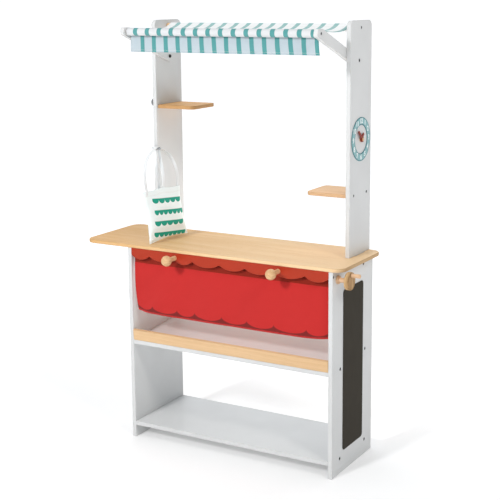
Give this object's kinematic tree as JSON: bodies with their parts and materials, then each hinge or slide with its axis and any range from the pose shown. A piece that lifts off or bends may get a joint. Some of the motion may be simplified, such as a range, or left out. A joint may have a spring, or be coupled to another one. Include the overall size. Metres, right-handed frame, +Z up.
{
  "type": "toy market stall",
  "caption": "Toy market stall with a shelved base under a broad counter, tall uprights, a striped awning, a cranked roller curtain, a play clock, a chalkboard and a hanging bag.",
  "frame": {"origin": "on the floor under the middle of the stall's box", "axes": "+Z up, -Y towards the customer's side with the valance and curtain, +X towards the crank"},
  "size_m": [0.855, 0.3096, 1.19],
  "materials": {
    "white_paint": "satin white paint",
    "natural_wood": "matte clear lacquer",
    "red_paint": "satin paint",
    "hand_red": "satin paint",
    "teal_paint": "satin paint",
    "chalk_black": "matte chalkboard paint",
    "grey_knob": "satin",
    "hook_grey": "satin",
    "canvas": "plain weave cotton",
    "red_cloth": "plain weave cotton",
    "striped_cloth": "plain weave cotton with woven stripes",
    "fastener_grey": "satin"
  },
  "bodies": {
    "stall": {"left_side_panel": "white_paint", "right_side_panel": "white_paint", "lower_shelf": "white_paint", "middle_shelf": "white_paint", "left_upright": "white_paint", "right_upright": "white_paint", "left_awning_arm": "white_paint", "right_awning_arm": "white_paint", "shelf_lip": "natural_wood", "counter_top": "natural_wood", "counter_dowels": "natural_wood", "left_valance_peg": "natural_wood", "right_valance_peg": "natural_wood", "left_display_shelf": "natural_wood", "right_display_shelf": "natural_wood", "rear_pole": "natural_wood", "front_pole": "natural_wood", "clock_pin": "natural_wood", "crank_bush": "natural_wood", "roller_bush": "natural_wood", "front_valance": "red_paint", "clock_ring": "teal_paint", "chalkboard": "chalk_black", "side_knob": "grey_knob", "bag_hook": "hook_grey", "curtain": "red_cloth", "awning_canopy": "striped_cloth", "awning_frill": "striped_cloth", "shelf_bolts": "fastener_grey", "shelf_barrel_nuts": "fastener_grey", "upright_bolts": "fastener_grey", "upright_nuts": "fastener_grey", "display_shelf_screws": "fastener_grey", "arm_bolts": "fastener_grey", "arm_nuts": "fastener_grey", "rear_pole_screws": "fastener_grey", "front_pole_screws": "fastener_grey", "valance_screws": "fastener_grey"},
    "crank": {"curtain_roller": "natural_wood", "curtain_winding": "red_cloth", "crank_wheel": "natural_wood", "crank_handle": "natural_wood"},
    "hour_hand": {"hour_hand": "hand_red"},
    "minute_hand": {"minute_hand": "hand_red"},
    "bag": {"bag": "canvas", "bag_straps": "canvas"}
  },
  "joints": [
    {"name": "crank_turn", "type": "hinge", "parent": "stall", "child": "crank", "pos_m": [0.3905, -0.07225, 0.536], "axis": [-1, 0, 0], "range_deg": [0, 600], "deforming": ["curtain"]},
    {"name": "hour_hand_turn", "type": "hinge", "parent": "stall", "child": "hour_hand", "pos_m": [0.3505, 0.08925, 0.88], "axis": [1, 0, 0], "continuous": true},
    {"name": "minute_hand_turn", "type": "hinge", "parent": "stall", "child": "minute_hand", "pos_m": [0.3505, 0.08925, 0.88], "axis": [1, 0, 0], "continuous": true},
    {"name": "bag_off_hook", "type": "slide", "parent": "stall", "child": "bag", "axis": [1, 0, 0], "range_m": [0, 0.12]}
  ]
}
